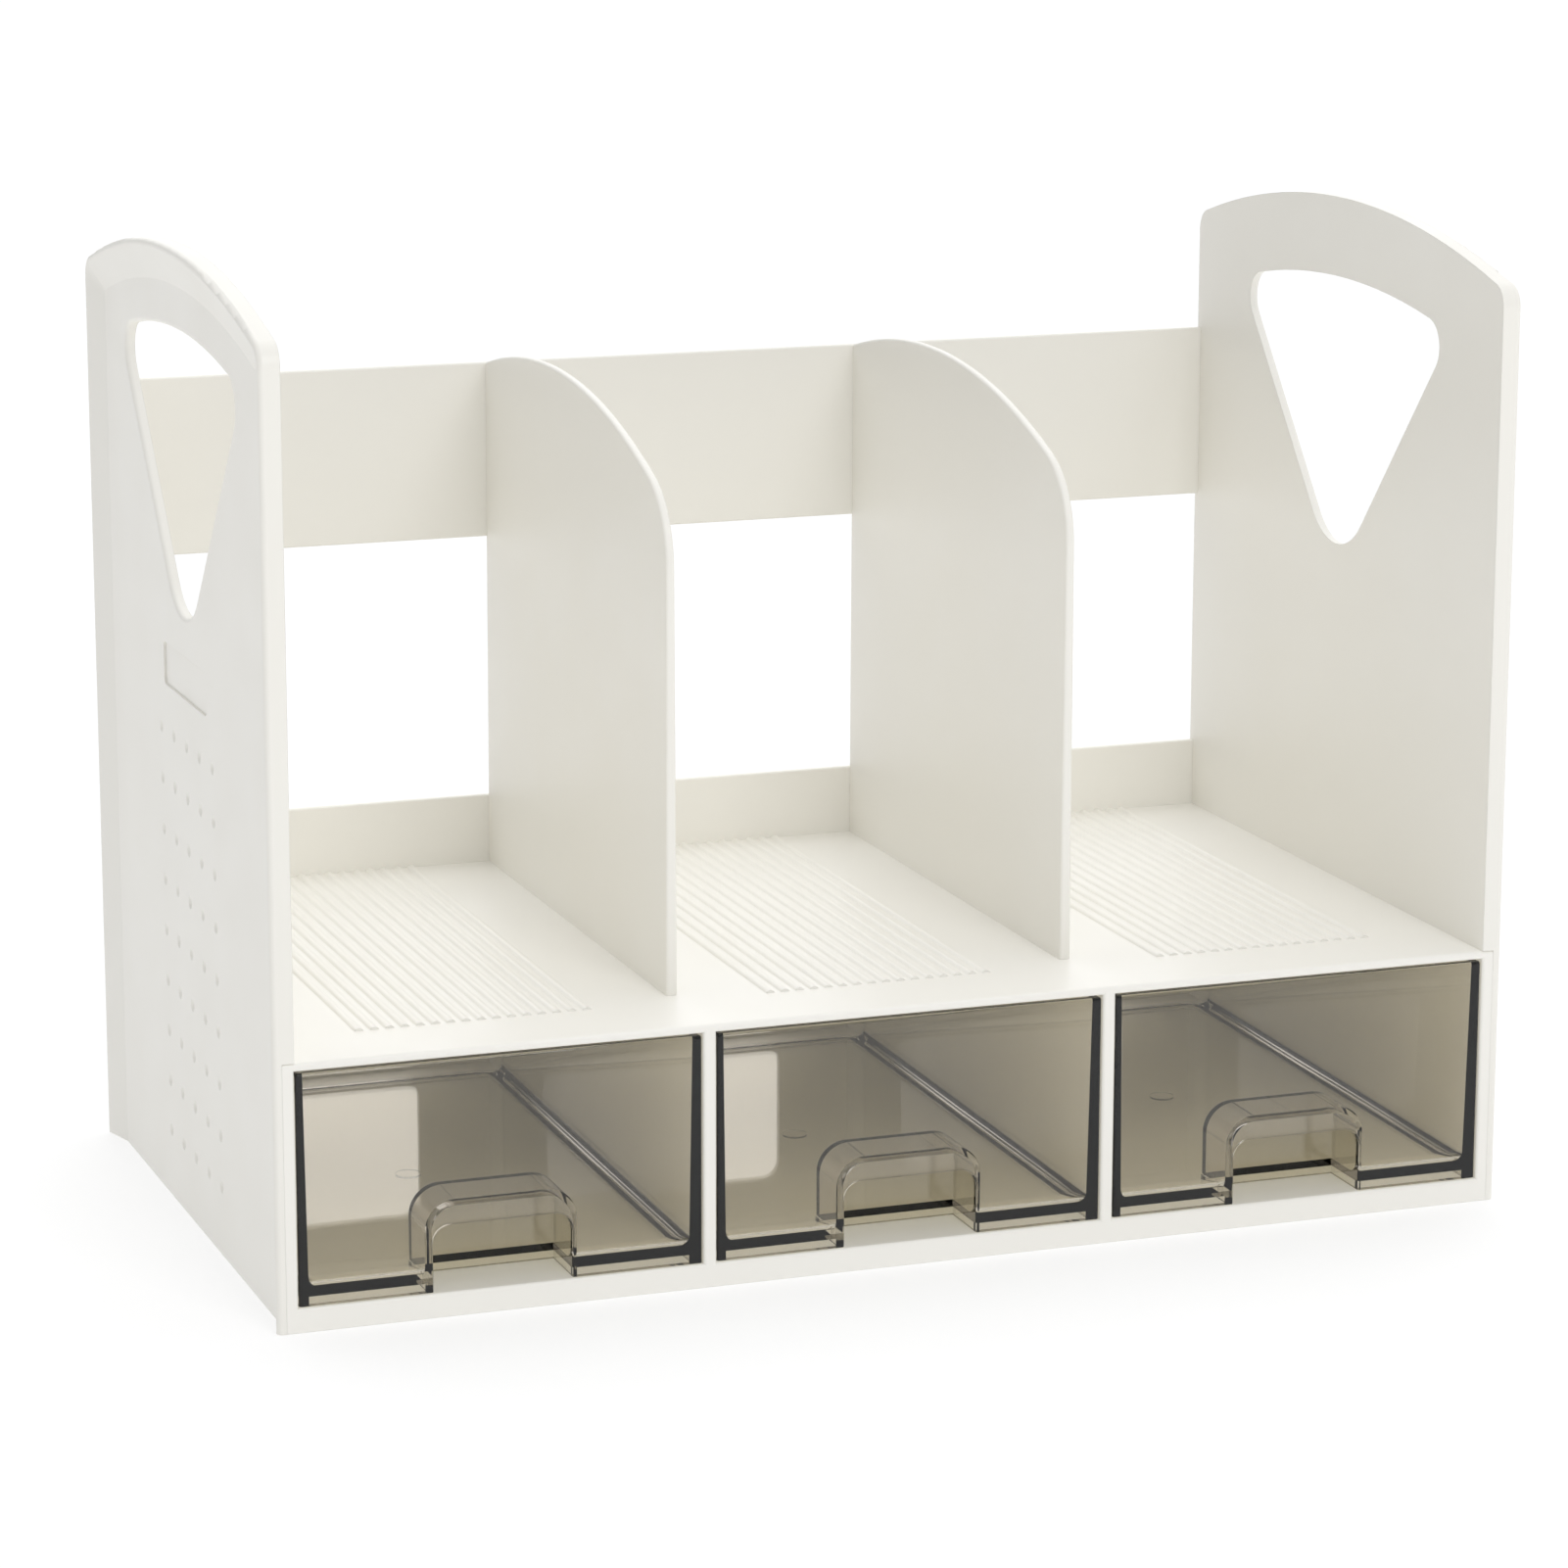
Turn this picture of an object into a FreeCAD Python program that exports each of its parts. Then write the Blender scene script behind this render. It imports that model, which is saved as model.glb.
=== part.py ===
# Desktop file organizer: three file bays over three drawers, knocked down into moulded pieces.
# X runs to the right, Y to the back and Z up. The origin is on the desk, under the middle of the object.
# All sizes are millimetres.

import FreeCAD, Part
import math
import os

import Sketcher

NEAR = 0.01

doc = FreeCAD.newDocument("FileOrganizer")


# The driving sizes

DRIVING_SIZES = [
    ("overall_width", 400.0, "outside to outside of the side panels"),
    ("overall_depth", 225.0, "front to back"),
    ("side_height", 309.3, "desk to the crown of the side panels"),
    ("crown_rise", 16.8, "how far the crown stands above the panels' corners"),
    ("rim_thickness", 6.5, "side panel at its rim"),
    ("panel_wall", 3.2, "side panel inside its sloping border"),
    ("rim_flat", 2.0, "level strip round the outside of the rim"),
    ("border_side", 14.5, "border's width at the front and back"),
    ("border_top", 12.4, "border's width under the crown"),
    ("side_corner", 7.5, "radius of the side panels' top corners"),
    ("field_corner", 1.2, "radius where the border's slopes meet"),
    ("outer_round", 1.6, "rounding of the rim's outer edge"),
    ("cutout_drop", 25.9, "crown to the top of the hand cut-out"),
    ("cutout_width", 156.2, "hand cut-out across its corners, before they are rounded"),
    ("cutout_height", 101.1, "hand cut-out from its crown to its point, before that is rounded"),
    ("cutout_corner", 9.0, "radius of the cut-out's upper corners"),
    ("cutout_tip", 23.0, "radius of the cut-out's lower tip"),
    ("cutout_round", 1.4, "rounding of the cut-out's outer edge"),
    ("label_drop", 107.4, "cut-out's crown down to the middle of the label recess"),
    ("label_length", 55.0, "label recess, front to back"),
    ("label_height", 13.5, "label recess, up and down"),
    ("label_depth", 0.7, "label recess"),
    ("label_corner", 2.0, "radius of the recess's corners"),
    ("dimple_drop", 21.5, "middle of the label recess down to the top row of dimples"),
    ("dimple_pitch", 16.5, "dimples, both ways"),
    ("dimple_columns", 5, "dimples in a row"),
    ("dimple_margin", 20.0, "least height of a dimple above the desk"),
    ("dimple_width", 4.2, "a dimple across its mouth"),
    ("dimple_depth", 1.2, "a dimple's depth at its point"),
    ("foot_gap", 0.4, "height of every bottom edge above the desk, on the pads"),
    ("base_top", 7.9, "drawer bay's floor above the desk"),
    ("base_plate", 2.6, "thickness of the bays' floor"),
    ("shelf_top", 82.8, "shelf's upper face above the desk"),
    ("shelf_plate", 2.6, "thickness of the shelf"),
    ("partition", 4.2, "thickness between two drawer bays"),
    ("flange_reach", 3.7, "how far the front frame reaches into each side panel's rim"),
    ("flange_depth", 5.0, "front frame, front to back"),
    ("frame_round", 1.1, "rounding round each drawer bay's mouth"),
    ("back_plate", 2.4, "thickness of the back panel and of the back rail"),
    ("curb_height", 23.1, "back panel above the shelf"),
    ("plate_round", 0.7, "rounding along the curb and the rail"),
    ("window_width", 74.0, "window behind a drawer"),
    ("window_sill", 10.6, "bay's floor to the window"),
    ("window_head", 13.7, "window to the shelf's underside"),
    ("window_corner", 6.0, "radius of the windows' corners"),
    ("rail_drop", 39.6, "side panels' back corner down to the rail's top"),
    ("rail_height", 58.6, "back rail, up and down"),
    ("rib_count", 16, "ribs in one file bay"),
    ("rib_pitch", 4.76, "ribs, middle to middle"),
    ("rib_width", 3.0, "a rib at the shelf's face"),
    ("rib_height", 0.8, "a rib above the shelf's face"),
    ("rib_setback", 28.5, "front of the shelf to the ribs' tips"),
    ("divider_setback", 35.5, "front of the object to the dividers' front edge"),
    ("divider_fall", 19.7, "divider's front corner below its back corner, before it is rounded"),
    ("divider_crown", 273.0, "radius of a divider's upper edge"),
    ("divider_corner", 28.0, "radius of a divider's front corner"),
    ("divider_foot", 3.6, "divider's thickness at the shelf"),
    ("divider_top", 2.4, "divider's thickness at its top"),
    ("divider_round", 0.9, "rounding of a divider's edges"),
    ("drawer_gap", 0.3, "drawer's clearance at its sides and underneath"),
    ("drawer_head_gap", 0.7, "drawer's clearance under the shelf"),
    ("drawer_setback", 0.5, "front frame to the drawer's front"),
    ("drawer_back_room", 13.0, "drawer's back to the back panel"),
    ("drawer_front", 2.5, "thickness of a drawer's front"),
    ("drawer_wall", 2.5, "drawer's wall at its top"),
    ("drawer_draft", 1.0, "how much thicker a drawer's wall is at its floor than at its top"),
    ("drawer_skirt", 2.2, "drawer's floor above its bottom edge"),
    ("drawer_floor", 2.4, "thickness of a drawer's floor"),
    ("gate_width", 8.0, "sprue gate's diameter"),
    ("gate_height", 0.6, "sprue gate below the drawer's floor"),
    ("drawer_corner", 9.0, "radius of a drawer's back corners"),
    ("drawer_cove", 4.0, "radius where a drawer's floor meets its walls"),
    ("drawer_front_round", 0.9, "rounding round a drawer's front"),
    ("drawer_rim_round", 0.8, "rounding along a drawer's rim"),
    ("pull_width", 43.3, "finger pull's opening"),
    ("pull_opening", 20.3, "drawer's bottom edge to the top of the opening in its front"),
    ("pull_opening_corner", 5.5, "radius of the opening's upper corners"),
    ("pull_headroom", 25.8, "drawer's bottom edge to the pocket's ceiling"),
    ("pull_depth", 17.0, "pocket behind the drawer's front"),
    ("pull_corner", 7.5, "radius of the pocket's upper corners"),
    ("pull_wall", 2.0, "wall round the pocket"),
    ("pull_round", 0.7, "rounding of the lip that the fingers hold"),
    ("under_rib", 1.6, "thickness of the stiffening ribs under the base"),
    ("under_rib_rise", 1.2, "ribs' lower edge above the desk"),
    ("pad_width", 14.0, "an anti-slip pad's diameter"),
    ("pad_thickness", 1.6, "an anti-slip pad"),
    ("pad_inset_side", 22.0, "pad's middle in from the side panel's outside"),
    ("pad_inset_end", 20.5, "pad's middle in from the front and from the back"),
    ("pad_gap", 0.2, "clearance round a pad in its seat"),
    ("pad_seat_wall", 1.6, "ring round a pad's seat"),
    ("tab_thickness", 1.4, "tabs that plug one piece into the next"),
    ("tab_length", 16.0, "tabs along the joint"),
    ("tab_inset", 54.0, "tab's middle in from the front and from the back"),
    ("tab_gap", 0.1, "clearance round a tab in its slot"),
    ("socket_skin", 1.2, "wall left outside a socket in a side panel"),
    ("foot_tab_depth", 4.0, "divider's foot tabs, down into the case"),
]

sizes = doc.addObject("Spreadsheet::Sheet", "Sizes")
for row, (alias, size, meaning) in enumerate(DRIVING_SIZES, 1):
    sizes.set(f"A{row}", meaning)
    sizes.set(f"B{row}", str(size))
    sizes.setAlias(f"B{row}", alias)
doc.recompute()


# Places worked out from the driving sizes, as expressions

FRONT = "(-Sizes.overall_depth / 2)"
BACK = "(Sizes.overall_depth / 2)"
OUTER_X = "(Sizes.overall_width / 2)"
INNER_X = "(Sizes.overall_width / 2 - Sizes.rim_thickness)"
FIELD_X = f"({INNER_X} + Sizes.panel_wall)"
FRAME_X = f"({INNER_X} + Sizes.flange_reach)"
FRAME_BACK = f"({FRONT} + Sizes.flange_depth)"
PLATE_FRONT = f"({BACK} - Sizes.back_plate)"
BASE_UNDER = "(Sizes.base_top - Sizes.base_plate)"
SHELF_UNDER = "(Sizes.shelf_top - Sizes.shelf_plate)"
BAY_WIDTH = f"((2 * {INNER_X} - 2 * Sizes.partition) / 3)"
BAY_PITCH = f"({BAY_WIDTH} + Sizes.partition)"
MIDDLE_BAY_X = f"({BAY_WIDTH} / 2)"
SIDE_BAY_X = f"({BAY_WIDTH} / 2 + Sizes.partition)"
CURB_TOP = "(Sizes.shelf_top + Sizes.curb_height)"
RAIL_TOP = "(Sizes.side_height - Sizes.crown_rise - Sizes.rail_drop)"
RAIL_LOW = f"({RAIL_TOP} - Sizes.rail_height)"
CROWN_RADIUS = f"(({BACK} ^ 2 + Sizes.crown_rise ^ 2) / (2 * Sizes.crown_rise))"
CROWN_CENTRE = f"(Sizes.side_height - {CROWN_RADIUS})"
SOCKET_DEPTH = "(Sizes.panel_wall - Sizes.socket_skin)"
SIDE_TAB = f"({SOCKET_DEPTH} - Sizes.tab_gap)"


def value(expression):
    """An expression's present value."""
    return float(sizes.evalExpression(expression))


def sketch_on(body, name, plane, offset="0"):
    """A sketch on one of the body's origin planes, moved along that plane's normal."""
    sketch = body.newObject("Sketcher::SketchObject", name)
    for feature in body.Origin.OriginFeatures:
        if feature.Role == plane:
            sketch.AttachmentSupport = [(feature, "")]
    sketch.MapMode = "FlatFace"
    sketch.setExpression("AttachmentOffset.Base.z", offset)
    return sketch


def bind(sketch, kind, first, second, expression):
    """A dimension between two points of a sketch that follows an expression."""
    dimension = Sketcher.Constraint(kind, *first, *second, value(expression))
    index = sketch.addConstraint(dimension)
    sketch.setExpression(f"Constraints[{index}]", expression)


def outline(sketch, corners, arcs=None):
    """A closed outline, anticlockwise; arcs gives the radius of each side that bulges outwards."""
    arcs = arcs or {}
    start_of = sketch.GeometryCount
    points = [FreeCAD.Vector(value(across), value(up), 0) for across, up in corners]
    for side, start in enumerate(points):
        end = points[(side + 1) % len(points)]
        if side not in arcs:
            sketch.addGeometry(Part.LineSegment(start, end))
            continue
        radius = value(arcs[side])
        chord = end - start
        inwards = FreeCAD.Vector(-chord.y, chord.x, 0).normalize()
        centre = (start + end) / 2 + inwards * math.sqrt(radius**2 - chord.Length**2 / 4)
        from_angle = math.atan2(start.y - centre.y, start.x - centre.x)
        to_angle = math.atan2(end.y - centre.y, end.x - centre.x)
        circle = Part.Circle(centre, FreeCAD.Vector(0, 0, 1), radius)
        sketch.addGeometry(Part.ArcOfCircle(circle, from_angle, to_angle))
    for side, (across, up) in enumerate(corners):
        here = start_of + side
        after = start_of + (side + 1) % len(corners)
        sketch.addConstraint(Sketcher.Constraint("Coincident", here, 2, after, 1))
        bind(sketch, "DistanceX", (-1, 1), (here, 1), across)
        bind(sketch, "DistanceY", (-1, 1), (here, 1), up)
        if side in arcs:
            index = sketch.addConstraint(Sketcher.Constraint("Radius", here, value(arcs[side])))
            sketch.setExpression(f"Constraints[{index}]", arcs[side])


def rectangle(sketch, left, right, low, high):
    """A rectangle between two places across and two places up."""
    outline(sketch, [(left, low), (right, low), (right, high), (left, high)])


def rounded_rectangle(sketch, left, right, low, high, corner):
    """A rectangle whose four corners are arcs."""
    outline(
        sketch,
        [
            (f"{left} + {corner}", low),
            (f"{right} - {corner}", low),
            (right, f"{low} + {corner}"),
            (right, f"{high} - {corner}"),
            (f"{right} - {corner}", high),
            (f"{left} + {corner}", high),
            (left, f"{high} - {corner}"),
            (left, f"{low} + {corner}"),
        ],
        {1: corner, 3: corner, 5: corner, 7: corner},
    )


def crowned_outline(sketch, half, apex, radius, corner, low):
    """Two upright sides and an arched top, with rounded corners where they meet."""
    centre = f"({apex} - {radius})"
    reach = f"({radius} - {corner})"
    corner_across = f"({half} - {corner})"
    corner_rise = f"sqrt({reach} ^ 2 - {corner_across} ^ 2)"
    side_top = f"({centre} + {corner_rise})"
    arch_across = f"({corner_across} * {radius} / {reach})"
    arch_up = f"({centre} + {corner_rise} * {radius} / {reach})"
    outline(
        sketch,
        [
            (f"-({half})", low),
            (half, low),
            (half, side_top),
            (arch_across, arch_up),
            (f"-{arch_across}", arch_up),
            (f"-({half})", side_top),
        ],
        {2: corner, 3: radius, 4: corner},
    )


def circle(sketch, across, up, diameter):
    """A circle about a place in the sketch."""
    centre = FreeCAD.Vector(value(across), value(up), 0)
    shape = Part.Circle(centre, FreeCAD.Vector(0, 0, 1), value(diameter) / 2)
    index = sketch.addGeometry(shape)
    bind(sketch, "DistanceX", (-1, 1), (index, 3), across)
    bind(sketch, "DistanceY", (-1, 1), (index, 3), up)
    dimension = sketch.addConstraint(Sketcher.Constraint("Diameter", index, value(diameter)))
    sketch.setExpression(f"Constraints[{dimension}]", diameter)


def pad(body, sketch, name, length, reverse=False, both_ways=False):
    """Material pushed out of a sketch."""
    feature = body.newObject("PartDesign::Pad", name)
    feature.Profile = sketch
    feature.setExpression("Length", length)
    feature.Reversed = reverse
    if both_ways:
        feature.SideType = "Symmetric"
    body.Tip = feature
    return feature


def pocket(body, sketch, name, length=None, reverse=False, both_ways=False):
    """Material cut away along a sketch's normal; with no length it cuts right through."""
    feature = body.newObject("PartDesign::Pocket", name)
    feature.Profile = sketch
    if length is None:
        feature.Type = "ThroughAll"
    else:
        feature.setExpression("Length", length)
    feature.Reversed = reverse
    if both_ways:
        feature.SideType = "Symmetric"
    body.Tip = feature
    return feature


def axis_of(body, role):
    """One of the body's origin axes, for a pattern to follow."""
    for feature in body.Origin.OriginFeatures:
        if feature.Role == role:
            return (feature, [""])


def grid(body, name, original, first, second):
    """Even copies of a feature in two directions: each is an axis, a spacing, a count and a reversal."""
    pattern = body.newObject("PartDesign::LinearPattern", name)
    pattern.Originals = [original]
    axis, spacing, count, backwards = first
    pattern.Direction = axis_of(body, axis)
    pattern.Reversed = backwards
    pattern.Mode = "Spacing"
    pattern.setExpression("Offset", spacing)
    pattern.setExpression("Occurrences", count)
    axis, spacing, count, backwards = second
    pattern.Direction2 = axis_of(body, axis)
    pattern.Reversed2 = backwards
    pattern.Mode2 = "Spacing"
    pattern.setExpression("Offset2", spacing)
    pattern.setExpression("Occurrences2", count)
    doc.recompute()
    # A spacing of -1 follows the pattern's own offset.
    pattern.Spacings2 = [-1.0] * (pattern.Occurrences2 - 1)
    body.Tip = pattern
    return pattern


def lies(edge, **places):
    """True if the whole edge is at each given x, y or z."""
    box = edge.BoundBox
    spans = {"x": (box.XMin, box.XMax), "y": (box.YMin, box.YMax), "z": (box.ZMin, box.ZMax)}
    return all(abs(end - place) < NEAR for axis, place in places.items() for end in spans[axis])


def within(edge, axis, low, high):
    """True if the whole edge is between two places on one axis."""
    box = edge.BoundBox
    ends = {"x": (box.XMin, box.XMax), "y": (box.YMin, box.YMax), "z": (box.ZMin, box.ZMax)}[axis]
    return ends[0] > low - NEAR and ends[1] < high + NEAR


def rounded(body, name, radius, chosen):
    """A fillet along the edges that the test picks out of the body as it stands."""
    doc.recompute()
    base = body.Tip
    edges = [f"Edge{number}" for number, edge in enumerate(base.Shape.Edges, 1) if chosen(edge)]
    if not edges:
        raise ValueError(f"{body.Label}: no edges found for {name}")
    feature = body.newObject("PartDesign::Fillet", name)
    feature.Base = (base, edges)
    feature.setExpression("Radius", radius)
    body.Tip = feature
    return feature


def new_body(label, across="0"):
    """A body named for its piece, moved sideways to where the piece stands."""
    body = doc.addObject("PartDesign::Body", label)
    body.Label = label
    body.setExpression("Placement.Base.x", across)
    return body


# Tabs along X: the case, the back panel and the back rail plug into both side panels.
# Each row is the tab's middle across the joint, its middle up, and its two sizes that way.

TAB_FRONT = f"({FRONT} + Sizes.tab_inset)"
TAB_BACK = f"({BACK} - Sizes.tab_inset)"
BASE_TAB_Z = "(Sizes.base_top - Sizes.base_plate / 2)"
SHELF_TAB_Z = "(Sizes.shelf_top - Sizes.shelf_plate / 2)"
PLATE_TAB_Y = f"({PLATE_FRONT} + Sizes.tab_thickness / 2 + Sizes.tab_gap)"
RAIL_TAB_Z = f"({RAIL_TOP} - Sizes.rail_height / 2)"
CURB_TAB_Z = "(Sizes.shelf_top / 2)"

CASE_TABS = [
    (TAB_FRONT, BASE_TAB_Z, "Sizes.tab_length", "Sizes.tab_thickness"),
    (TAB_BACK, BASE_TAB_Z, "Sizes.tab_length", "Sizes.tab_thickness"),
    (TAB_FRONT, SHELF_TAB_Z, "Sizes.tab_length", "Sizes.tab_thickness"),
    (TAB_BACK, SHELF_TAB_Z, "Sizes.tab_length", "Sizes.tab_thickness"),
]
BACK_PANEL_TABS = [(PLATE_TAB_Y, CURB_TAB_Z, "Sizes.tab_thickness", "Sizes.tab_length")]
BACK_RAIL_TABS = [(PLATE_TAB_Y, RAIL_TAB_Z, "Sizes.tab_thickness", "Sizes.tab_length")]


def tab_rectangles(sketch, tabs, grow="0"):
    """The tabs' ends, or their sockets' mouths when grown by a clearance."""
    for across, up, long, high in tabs:
        half_long = f"({long} / 2 + {grow})"
        half_high = f"({high} / 2 + {grow})"
        rectangle(
            sketch,
            f"{across} - {half_long}",
            f"{across} + {half_long}",
            f"{up} - {half_high}",
            f"{up} + {half_high}",
        )


def side_tabs(body, tabs):
    """Tabs on both ends of a piece that spans the side panels."""
    right = sketch_on(body, "RightTabs", "YZ_Plane", INNER_X)
    tab_rectangles(right, tabs)
    pad(body, right, "RightTabPad", SIDE_TAB)
    left = sketch_on(body, "LeftTabs", "YZ_Plane", f"-{INNER_X}")
    tab_rectangles(left, tabs)
    pad(body, left, "LeftTabPad", SIDE_TAB, reverse=True)


# The side panels: a dished moulding whose border slopes down from the rim to a flat, thinner field.
# The left one is the mirror image of the right one.

def on_silhouette(edge):
    """True if an edge follows the side panel's outline and not the dish's."""
    middle = edge.valueAt((edge.FirstParameter + edge.LastParameter) / 2)
    centre = FreeCAD.Vector(middle.x, 0, value(CROWN_CENTRE))
    if abs(abs(middle.y) - value(BACK)) < NEAR:
        return True
    on_crown = abs((middle - centre).Length - value(CROWN_RADIUS)) < NEAR
    corner = value("Sizes.side_corner")
    corner_y = value(BACK) - corner
    corner_rise = math.sqrt((value(CROWN_RADIUS) - corner) ** 2 - corner_y**2)
    corner_centre = FreeCAD.Vector(middle.x, math.copysign(corner_y, middle.y), centre.z + corner_rise)
    on_corner = abs((middle - corner_centre).Length - corner) < NEAR
    return on_crown or on_corner


def inside_cutout(edge):
    """True if an edge belongs to the hand cut-out."""
    box = edge.BoundBox
    low = value("Sizes.side_height - Sizes.cutout_drop - Sizes.cutout_height")
    high = value("Sizes.side_height - Sizes.cutout_drop")
    half = value("Sizes.cutout_width / 2")
    return box.ZMin > low and box.ZMax < high + NEAR and box.YMin > -half and box.YMax < half


def side_panel(label):
    body = new_body(label)

    blank = sketch_on(body, "Silhouette", "YZ_Plane", INNER_X)
    crowned_outline(
        blank, BACK, "Sizes.side_height", CROWN_RADIUS, "Sizes.side_corner", "Sizes.foot_gap"
    )
    pad(body, blank, "Blank", "Sizes.rim_thickness")

    # The dish is lofted past the rim's face on the same slope, so that it leaves a clean edge there.
    slope_run = "(Sizes.border_side - Sizes.rim_flat)"
    slope_run_top = "(Sizes.border_top - Sizes.rim_flat)"
    slope_rise = "(Sizes.rim_thickness - Sizes.panel_wall)"
    below_desk = "(-Sizes.border_side)"
    mouth = sketch_on(body, "DishMouth", "YZ_Plane", f"({OUTER_X} + {slope_rise})")
    crowned_outline(
        mouth,
        f"({BACK} - Sizes.rim_flat + {slope_run})",
        f"(Sizes.side_height - Sizes.rim_flat + {slope_run_top})",
        f"({CROWN_RADIUS} - Sizes.rim_flat + {slope_run_top})",
        "(2 * (Sizes.side_corner - Sizes.rim_flat) - Sizes.field_corner)",
        below_desk,
    )
    field = sketch_on(body, "DishField", "YZ_Plane", FIELD_X)
    crowned_outline(
        field,
        f"({BACK} - Sizes.border_side)",
        "(Sizes.side_height - Sizes.border_top)",
        f"({CROWN_RADIUS} - Sizes.border_top)",
        "Sizes.field_corner",
        below_desk,
    )
    dish = body.newObject("PartDesign::SubtractiveLoft", "Dish")
    dish.Profile = mouth
    dish.Sections = [field]
    dish.Ruled = True
    body.Tip = dish

    rounded(
        body,
        "RimOuterRound",
        "Sizes.outer_round",
        lambda edge: lies(edge, x=value(OUTER_X)) and (
            lies(edge, y=value(FRONT)) or lies(edge, y=value(BACK))
            or edge.BoundBox.ZMin > value("Sizes.side_height - Sizes.crown_rise - Sizes.side_corner")
        ) and on_silhouette(edge),
    )

    # Fan-shaped hand cut-out, its top concentric with the crown
    cutout_radius = f"({CROWN_RADIUS} - Sizes.cutout_drop)"
    cutout_half = "(Sizes.cutout_width / 2)"
    shoulder = f"({CROWN_CENTRE} + sqrt({cutout_radius} ^ 2 - {cutout_half} ^ 2))"
    point = "(Sizes.side_height - Sizes.cutout_drop - Sizes.cutout_height)"
    fan = sketch_on(body, "HandCutout", "YZ_Plane", OUTER_X)
    outline(
        fan,
        [("0", point), (cutout_half, shoulder), (f"-{cutout_half}", shoulder)],
        {1: cutout_radius},
    )
    pocket(body, fan, "HandCutoutThrough")
    rounded(
        body,
        "CutoutTip",
        "Sizes.cutout_tip",
        lambda edge: lies(edge, y=0, z=value(point)),
    )
    rounded(
        body,
        "CutoutCorners",
        "Sizes.cutout_corner",
        lambda edge: lies(edge, z=value(shoulder)) and edge.BoundBox.XLength > 1,
    )
    rounded(
        body,
        "CutoutOuterRound",
        "Sizes.cutout_round",
        lambda edge: lies(edge, x=value(FIELD_X)) and inside_cutout(edge),
    )

    # Label recess, left bare
    label_middle = "(Sizes.side_height - Sizes.cutout_drop - Sizes.label_drop)"
    label_half = "(Sizes.label_length / 2)"
    recess = sketch_on(body, "LabelRecess", "YZ_Plane", FIELD_X)
    rounded_rectangle(
        recess,
        f"-{label_half}",
        label_half,
        f"({label_middle} - Sizes.label_height / 2)",
        f"({label_middle} + Sizes.label_height / 2)",
        "Sizes.label_corner",
    )
    pocket(body, recess, "LabelRecessCut", "Sizes.label_depth")

    # Blind conical dimples: columns about the middle, and rows down from the label to the margin
    top_row = f"({label_middle} - Sizes.dimple_drop)"
    rows = f"floor(({top_row} - Sizes.dimple_margin) / Sizes.dimple_pitch) + 1"
    dimple = body.newObject("PartDesign::SubtractiveCone", "DimpleCut")
    dimple.setExpression("Radius1", "Sizes.dimple_width / 2")
    dimple.Radius2 = 0
    dimple.setExpression("Height", "Sizes.dimple_depth")
    dimple.Placement.Rotation = FreeCAD.Rotation(FreeCAD.Vector(0, 1, 0), -90)
    dimple.setExpression("Placement.Base.x", FIELD_X)
    dimple.setExpression("Placement.Base.y", "-(Sizes.dimple_columns - 1) / 2 * Sizes.dimple_pitch")
    dimple.setExpression("Placement.Base.z", top_row)
    body.Tip = dimple
    grid(
        body,
        "DimpleGrid",
        dimple,
        ("Y_Axis", "Sizes.dimple_pitch", "Sizes.dimple_columns", False),
        ("Z_Axis", "Sizes.dimple_pitch", rows, True),
    )

    # Rebate for the case's front frame, then the sockets
    rebate = sketch_on(body, "FrameRebate", "YZ_Plane", INNER_X)
    rectangle(
        rebate,
        f"({FRONT} - Sizes.flange_depth)",
        FRAME_BACK,
        "(Sizes.foot_gap - Sizes.flange_depth)",
        "Sizes.shelf_top",
    )
    pocket(body, rebate, "FrameRebateCut", "Sizes.flange_reach", reverse=True)
    sockets = sketch_on(body, "Sockets", "YZ_Plane", INNER_X)
    tab_rectangles(sockets, CASE_TABS + BACK_PANEL_TABS + BACK_RAIL_TABS, "Sizes.tab_gap")
    pocket(body, sockets, "SocketCut", SOCKET_DEPTH, reverse=True)
    return body


right_side_panel = side_panel("right_side_panel")
left_side_panel = doc.addObject("Part::Mirroring", "left_side_panel")
left_side_panel.Label = "left_side_panel"
left_side_panel.Source = right_side_panel
left_side_panel.Normal = FreeCAD.Vector(1, 0, 0)


# The drawer case: base, partitions, shelf and front frame in one moulding

PAD_SEAT = "(Sizes.pad_width + 2 * Sizes.pad_gap)"
FOOT_TAB_PLACES = (
    f"({FRONT} + Sizes.divider_setback + Sizes.tab_length)",
    f"({BACK} - Sizes.tab_inset)",
)
THROUGH_TABS = [
    (f"{step} * {BAY_PITCH}", up, "Sizes.tab_length", "Sizes.tab_thickness")
    for step in (-1, 0, 1)
    for up in (BASE_TAB_Z, SHELF_TAB_Z)
]


def pad_place(side, end):
    """A pad's middle: -1 or 1 for left or right, and for front or back."""
    across = f"{side} * ({OUTER_X} - Sizes.pad_inset_side)"
    along = f"{end} * ({BACK} - Sizes.pad_inset_end)"
    return across, along


def bays(sketch, side_bays_reach):
    """The three drawer bays' openings, the outer two reaching out to the given place."""
    rectangle(sketch, f"-{side_bays_reach}", f"-{SIDE_BAY_X}", "Sizes.base_top", SHELF_UNDER)
    rectangle(sketch, f"-{MIDDLE_BAY_X}", MIDDLE_BAY_X, "Sizes.base_top", SHELF_UNDER)
    rectangle(sketch, SIDE_BAY_X, side_bays_reach, "Sizes.base_top", SHELF_UNDER)


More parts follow.
